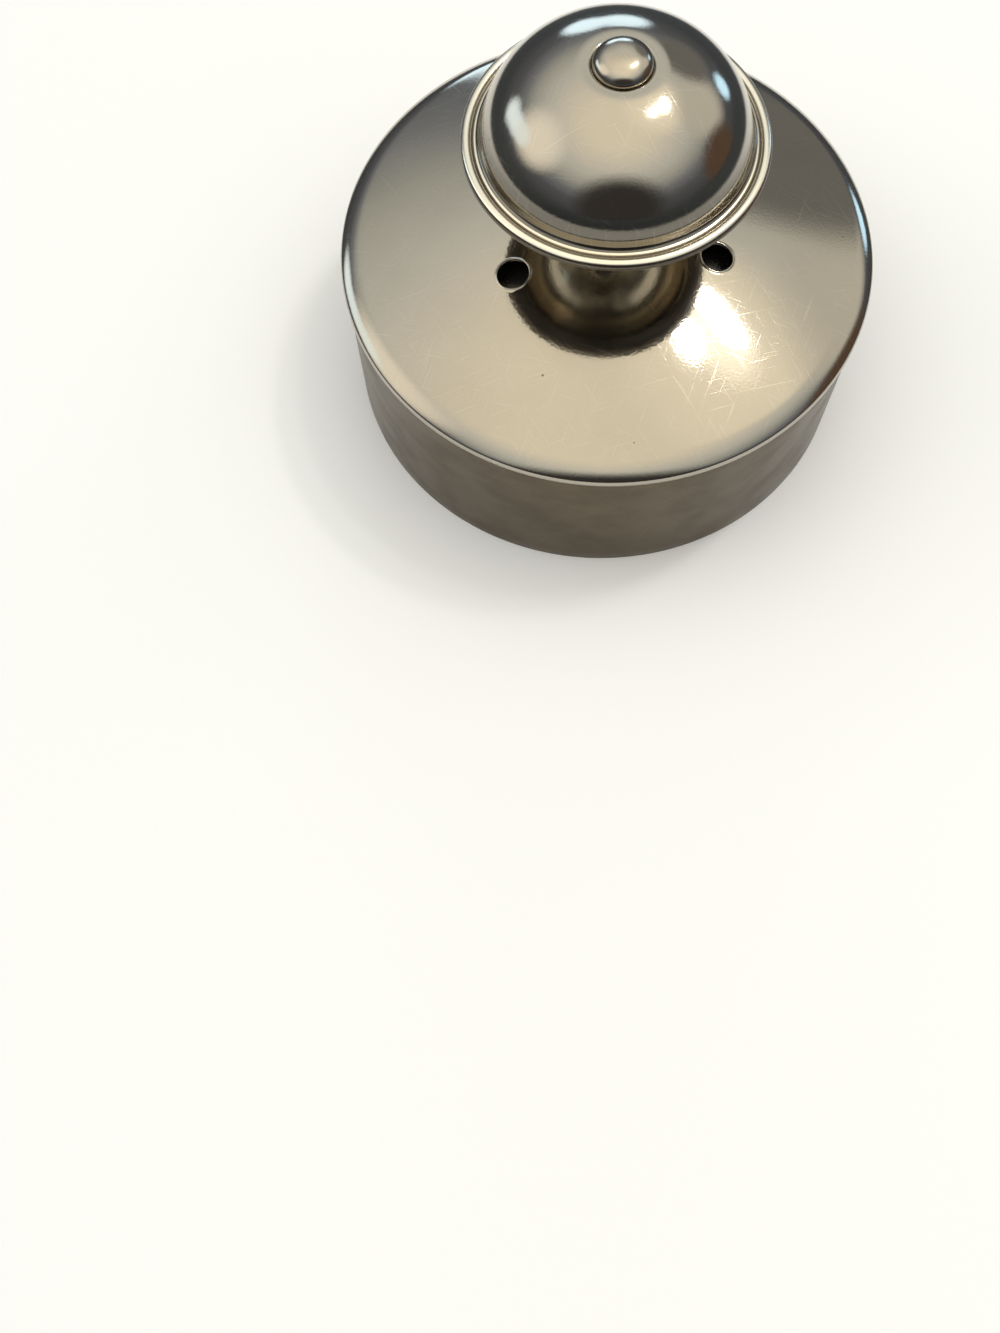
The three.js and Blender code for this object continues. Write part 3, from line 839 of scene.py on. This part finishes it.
def makeCrimper(shape):
    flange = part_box("crimper")[0][2] / mm + shape["crimpDepth"] + shape["sheet"]
    draft = math.radians(shape["draft"])
    start = shape["flangeRadius"] - shape["flangeWidth"]
    footX = start - shape["footLand"]
    wallRun = (coverShape["edgeHeight"] - flange) * math.tan(draft)
    shoulderR = footX - shape["foot"] - wallRun - shape["shoulder"]
    shoulderZ = shape["roof"] - shape["shoulder"]
    path = [(shape["flangeRadius"] + (start - shape["flangeRadius"]) * i / 10, flange) for i in range(11)]
    path += arcPoints(footX, flange + shape["foot"], shape["foot"], 270, 180 + shape["draft"], 6)
    path += arcPoints(shoulderR, shoulderZ, shape["shoulder"], shape["draft"], 90, 10)
    path += [(shoulderR + (shape["boreRadius"] - shoulderR) * i / 8, shape["roof"]) for i in range(1, 9)]
    outline = path + offsetPath(path, shape["sheet"])[::-1]
    pan = meshObject("crimperPan", latheMesh("crimperPan", outline, shape["sides"]))
    return runTree(pan, crimpTree(), {
        "Crimp count": float(shape["crimpCount"]), "Crimp depth": shape["crimpDepth"] * mm,
        "Flange start": start * mm, "Run in": shape["runIn"] * mm, "Material": plainSteel})


crimper = fitPiece(makeCrimper(crimperShape), "crimper", "plunger")
print("crimper made:", len(crimper.data.polygons), "faces")


# return spring, wound between the washers at one fixed length

springShape = {"coil": 7.0, "wire": 0.9, "openTurns": 5.0, "endTurns": 1.0, "endGap": 0.5,
               "steps": 320, "wireSides": 16, "gap": 0.3}


def makeSpring(shape):
    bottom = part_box("spring_seat_washer")[1][2] / mm + shape["gap"] + shape["wire"] / 2
    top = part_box("spring_cap_washer")[0][2] / mm - shape["gap"] - shape["wire"] / 2
    spring = meshObject("returnSpring", bpy.data.meshes.new("returnSpring"))
    return runTree(spring, springTree(), {
        "Coil diameter": shape["coil"] * mm, "Wire diameter": shape["wire"] * mm, "Bottom": bottom * mm,
        "Top": top * mm, "Open turns": shape["openTurns"], "End turns": shape["endTurns"],
        "End pitch": (shape["wire"] + shape["endGap"]) * mm, "Steps": shape["steps"],
        "Wire sides": shape["wireSides"], "Material": springSteel})


spring = fitPiece(makeSpring(springShape), "return_spring", "cutter_body")
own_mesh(spring)
print("spring made:", len(spring.data.polygons), "faces")


# stage: pale floor, camera at the photograph's angle, soft room light

# painted pool of light: the floor is pale within a soft disc round the object and turns to the far colour
# beyond it
floorLook = {"size": 6.0, "colour": (0.945, 0.957, 0.99), "farColour": (0.065, 0.076, 0.092),
             "middle": (-0.015, -0.022, 0.0), "lightPoolRadius": 0.166, "lightPoolFade": 0.055,
             "roughness": 0.9, "specular": 0.1}
cameraView = {"place": (-0.02703, -0.13905, 0.21602), "yaw": 0.0436, "pitch": 1.2294, "roll": -0.0465,
              "focalPixels": 1331.0, "imageHeight": 1333.0, "sensor": 36.0, "clipStart": 0.005}


def makeFloor(look):
    bm = bmesh.new()
    bmesh.ops.create_grid(bm, x_segments=1, y_segments=1, size=look["size"] / 2)
    mesh = bpy.data.meshes.new("floor")
    bm.to_mesh(mesh)
    bm.free()
    floor = meshObject("floor", mesh)
    material = bpy.data.materials.new("paleFloor")
    material.use_nodes = True
    tree = material.node_tree
    shader = tree.nodes["Principled BSDF"]
    away = addNode(tree, "ShaderNodeVectorMath", operation="DISTANCE")
    away.inputs[1].default_value = look["middle"]
    tree.links.new(addNode(tree, "ShaderNodeTexCoord").outputs["Object"], away.inputs[0])
    # painted pool of light, fading from the pale colour to the far colour
    lightPoolFade = addNode(tree, "ShaderNodeMapRange", interpolation_type="SMOOTHSTEP")
    lightPoolFade.inputs["From Min"].default_value = look["lightPoolRadius"]
    lightPoolFade.inputs["From Max"].default_value = look["lightPoolRadius"] + look["lightPoolFade"]
    tree.links.new(away.outputs["Value"], lightPoolFade.inputs["Value"])
    tone = addNode(tree, "ShaderNodeMix", data_type="RGBA")
    tone.inputs["A"].default_value = (*look["colour"], 1.0)
    tone.inputs["B"].default_value = (*look["farColour"], 1.0)
    tree.links.new(lightPoolFade.outputs[0], tone.inputs["Factor"])
    tree.links.new(tone.outputs["Result"], shader.inputs["Base Color"])
    shader.inputs["Roughness"].default_value = look["roughness"]
    shader.inputs["Specular IOR Level"].default_value = look["specular"]
    mesh.materials.append(material)


def makeCamera(view):
    yaw, pitch, roll = view["yaw"], view["pitch"], view["roll"]
    ahead = Vector((math.sin(yaw) * math.cos(pitch), math.cos(yaw) * math.cos(pitch), -math.sin(pitch)))
    right = Vector((math.cos(yaw), -math.sin(yaw), 0.0))
    up = right.cross(ahead)
    turnedRight = right * math.cos(roll) + up * math.sin(roll)
    turnedUp = up * math.cos(roll) - right * math.sin(roll)
    data = bpy.data.cameras.new("photoCamera")
    data.sensor_width = view["sensor"]
    data.lens = view["focalPixels"] / view["imageHeight"] * view["sensor"]
    data.clip_start = view["clipStart"]
    camera = bpy.data.objects.new("photoCamera", data)
    bpy.context.collection.objects.link(camera)
    axes = Matrix((turnedRight, turnedUp, -ahead)).transposed().to_4x4()
    camera.matrix_world = Matrix.Translation(Vector(view["place"])) @ axes
    bpy.context.scene.camera = camera


roomLight = {
    "strength": 1.08, "lampTarget": (0.0, 0.0, 0.04),
    # sine of the elevation, colour
    "bands": ((0.0, (0.09, 0.095, 0.11)), (0.26, (0.15, 0.16, 0.18)), (0.42, (0.30, 0.32, 0.36)),
              (0.57, (0.64, 0.66, 0.62)), (0.71, (0.88, 0.90, 0.86)), (0.82, (1.07, 1.04, 0.95)),
              (0.97, (1.34, 1.26, 1.05))),
    # name, azimuth, elevation, angle of the core, angle of the edge, colour
    "patches": (
        ("lampGlow", 27.0, 64.0, 4.0, 22.0, (1.48, 1.38, 1.12)),
        ("lampHalo", 25.0, 63.3, 1.5, 6.5, (2.30, 2.16, 1.82)),
        ("rightShade", 20.0, 34.0, 8.0, 24.0, (0.90, 0.87, 0.78)),
        ("brownCorner", -4.0, 9.0, 10.0, 22.0, (0.16, 0.105, 0.07)),
        ("rearShade", 52.0, 26.0, 8.0, 17.0, (0.25, 0.25, 0.24)),
        ("frontShade", -93.0, 14.0, 22.0, 41.0, (0.06, 0.055, 0.055)),
        ("leftWall", 176.0, 34.0, 6.0, 28.0, (1.45, 1.38, 1.22)),
        ("backWindow", 80.0, 10.5, 5.0, 10.0, (1.60, 2.05, 2.45)),
        ("backWindowLeft", 92.0, 10.5, 5.0, 10.0, (1.60, 2.05, 2.45)),
        ("leftWindow", 147.0, 13.5, 2.0, 11.0, (1.50, 1.75, 1.90)),
        ("leftWindowLow", 156.0, 17.5, 2.0, 11.0, (1.50, 1.75, 1.90)),
        ("leftWindowFoot", 165.0, 21.5, 2.0, 11.0, (1.50, 1.65, 1.68)),
        ("rightWindow", 35.0, 8.5, 3.0, 8.0, (1.25, 1.90, 2.50)),
    ),
}
lamps = (
    # name, azimuth, elevation, distance, size, watts, colour
    ("highBulb", 22.2, 68.4, 0.9, 0.065, 0.38, (1.0, 0.97, 0.92)),
    ("lowBulb", 23.1, 60.0, 0.9, 0.065, 0.38, (1.0, 0.97, 0.92)),
    ("sideBulb", 29.4, 59.8, 0.9, 0.065, 0.38, (1.0, 0.97, 0.92)),
)


def towards(azimuth, elevation):
    a, e = math.radians(azimuth), math.radians(elevation)
    return Vector((math.cos(a) * math.cos(e), math.sin(a) * math.cos(e), math.sin(e)))


def makeLight():
    world = bpy.data.worlds.new("room")
    bpy.context.scene.world = world
    world.use_nodes = True
    tree = world.node_tree
    sky = tree.nodes["Background"]
    ray = addNode(tree, "ShaderNodeTexCoord").outputs["Generated"]
    split = addNode(tree, "ShaderNodeSeparateXYZ")
    tree.links.new(ray, split.inputs[0])
    bands = addNode(tree, "ShaderNodeValToRGB")
    ramp = bands.color_ramp
    while len(ramp.elements) < len(roomLight["bands"]):
        ramp.elements.new(0.5)
    for element, (place, colour) in zip(ramp.elements, roomLight["bands"]):
        element.position = place
        element.color = (*colour, 1.0)
    tree.links.new(split.outputs["Z"], bands.inputs["Fac"])
    seen = bands.outputs["Color"]
    for name, azimuth, elevation, core, edge, colour in roomLight["patches"]:
        near = addNode(tree, "ShaderNodeVectorMath", operation="DOT_PRODUCT", label=name)
        near.inputs[1].default_value = towards(azimuth, elevation)
        tree.links.new(ray, near.inputs[0])
        share = addNode(tree, "ShaderNodeMapRange", interpolation_type="SMOOTHSTEP")
        share.inputs["From Min"].default_value = math.cos(math.radians(edge))
        share.inputs["From Max"].default_value = math.cos(math.radians(core))
        tree.links.new(near.outputs["Value"], share.inputs["Value"])
        patch = addNode(tree, "ShaderNodeMix", data_type="RGBA")
        patch.inputs["B"].default_value = (*colour, 1.0)
        tree.links.new(share.outputs[0], patch.inputs["Factor"])
        tree.links.new(seen, patch.inputs["A"])
        seen = patch.outputs["Result"]
    tree.links.new(seen, sky.inputs["Color"])
    sky.inputs["Strength"].default_value = roomLight["strength"]
    target = Vector(roomLight["lampTarget"])
    for name, azimuth, elevation, distance, size, watts, colour in lamps:
        data = bpy.data.lights.new(name, "AREA")
        data.shape = "DISK"
        data.size = size
        data.energy = watts
        data.color = colour
        lamp = bpy.data.objects.new(name, data)
        bpy.context.collection.objects.link(lamp)
        away = towards(azimuth, elevation)
        lamp.location = target + away * distance
        lamp.rotation_euler = (-away).to_track_quat("-Z", "Y").to_euler()


makeFloor(floorLook)
makeCamera(cameraView)
makeLight()
bpy.context.scene.view_settings.view_transform = "Standard"
print("stage made")
